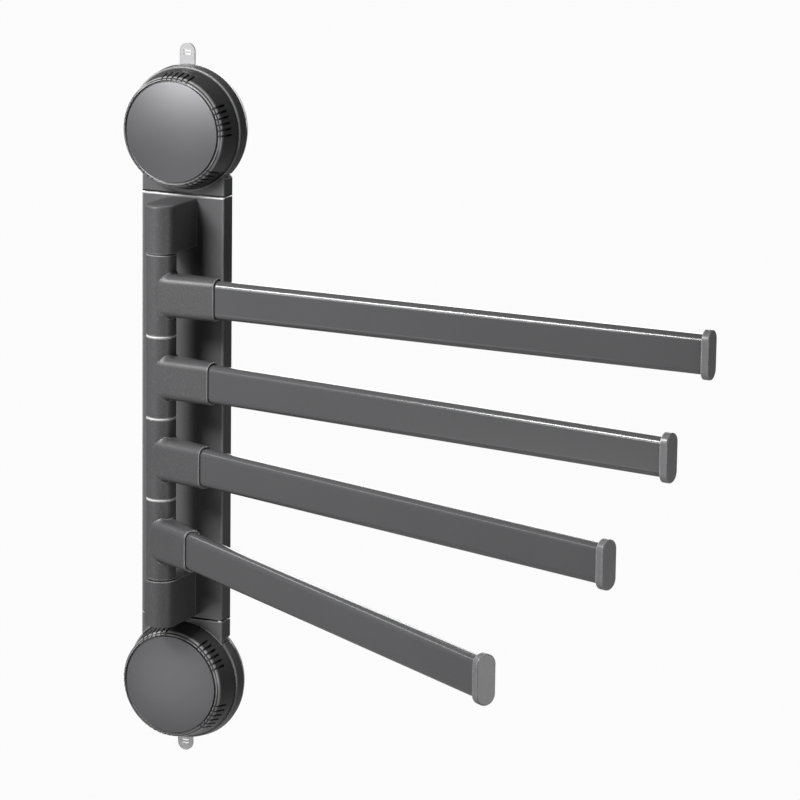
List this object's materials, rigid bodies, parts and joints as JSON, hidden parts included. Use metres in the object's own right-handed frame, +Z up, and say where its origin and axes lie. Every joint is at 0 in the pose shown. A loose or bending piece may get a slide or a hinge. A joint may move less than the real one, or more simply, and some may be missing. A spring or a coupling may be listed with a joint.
{
  "type": "swing arm towel bar",
  "caption": "Wall rack with swinging flat towel arms on one upright pivot, held by screw-down suction mounts at top and bottom.",
  "frame": {"origin": "on the wall plane, midway between the centres of the two suction mounts", "axes": "+Y into the wall, +X to the right seen from the room, +Z up along the strip"},
  "size_m": [0.3934, 0.2415, 0.441],
  "materials": {
    "body_plastic": "satin gunmetal grey moulding",
    "knob_plastic": "satin gunmetal grey, bright worn bevel",
    "face_disc": "satin domed disc",
    "painted_tube": "satin gunmetal powder coat on flat aluminium tube",
    "cap_plastic": "satin, lighter grey",
    "clear_cup": "clear soft plastic",
    "steel": "plain zinc plated",
    "nylon": "natural white",
    "brass": "turned",
    "dark_trim": "matt black"
  },
  "bodies": {
    "root": {"middle_panel": "body_plastic", "upper_housing": "body_plastic", "lower_housing": "body_plastic", "upper_suction_cup": "clear_cup", "lower_suction_cup": "clear_cup", "upper_thrust_washer": "nylon", "lower_thrust_washer": "nylon", "upper_bracket": "body_plastic", "lower_bracket": "body_plastic", "pivot_rod": "steel", "rod_plug": "dark_trim", "barrel_washers": "nylon", "bracket_washers": "dark_trim", "bracket_screws": "steel", "lap_screws": "steel"},
    "upper_knob": {"upper_knob_ring": "knob_plastic", "upper_knob_nut": "brass", "upper_knob_face": "face_disc"},
    "lower_knob": {"lower_knob_ring": "knob_plastic", "lower_knob_nut": "brass", "lower_knob_face": "face_disc"},
    "upper_stud": {"upper_pull_stud": "steel"},
    "lower_stud": {"lower_pull_stud": "steel"},
    "arm_1": {"arm_1_knuckle": "body_plastic", "arm_1_bush": "nylon", "arm_1_tube": "painted_tube", "arm_1_end_cap": "cap_plastic"},
    "arm_2": {"arm_2_knuckle": "body_plastic", "arm_2_bush": "nylon", "arm_2_tube": "painted_tube", "arm_2_end_cap": "cap_plastic"},
    "arm_3": {"arm_3_knuckle": "body_plastic", "arm_3_bush": "nylon", "arm_3_tube": "painted_tube", "arm_3_end_cap": "cap_plastic"},
    "arm_4": {"arm_4_knuckle": "body_plastic", "arm_4_bush": "nylon", "arm_4_tube": "painted_tube", "arm_4_end_cap": "cap_plastic"}
  },
  "joints": [
    {"name": "arm_1_swing", "type": "hinge", "parent": "root", "child": "arm_1", "pos_m": [0, -0.044, 0.075], "axis": [0, 0, -1], "range_deg": [-2, 178]},
    {"name": "arm_2_swing", "type": "hinge", "parent": "root", "child": "arm_2", "pos_m": [0, -0.044, 0.025], "axis": [0, 0, -1], "range_deg": [-9.6, 170.4]},
    {"name": "arm_3_swing", "type": "hinge", "parent": "root", "child": "arm_3", "pos_m": [0, -0.044, -0.025], "axis": [0, 0, -1], "range_deg": [-18.8, 161.2]},
    {"name": "arm_4_swing", "type": "hinge", "parent": "root", "child": "arm_4", "pos_m": [0, -0.044, -0.075], "axis": [0, 0, -1], "range_deg": [-32.9, 147.1]},
    {"name": "upper_knob_turn", "type": "hinge", "parent": "root", "child": "upper_knob", "pos_m": [0, -0.03, 0.1705], "axis": [0, 1, 0], "range_deg": [-270, 0]},
    {"name": "upper_stud_pull", "type": "slide", "parent": "root", "child": "upper_stud", "axis": [0, 1, 0], "range_m": [0, 0.0031]},
    {"name": "lower_knob_turn", "type": "hinge", "parent": "root", "child": "lower_knob", "pos_m": [0, -0.03, -0.1705], "axis": [0, 1, 0], "range_deg": [-270, 0]},
    {"name": "lower_stud_pull", "type": "slide", "parent": "root", "child": "lower_stud", "axis": [0, 1, 0], "range_m": [0, 0.0031]}
  ],
  "couplings": [
    {"joint": "upper_stud_pull", "follows": "upper_knob_turn", "m_per_rad": -0.00063662},
    {"joint": "lower_stud_pull", "follows": "lower_knob_turn", "m_per_rad": -0.00063662}
  ]
}
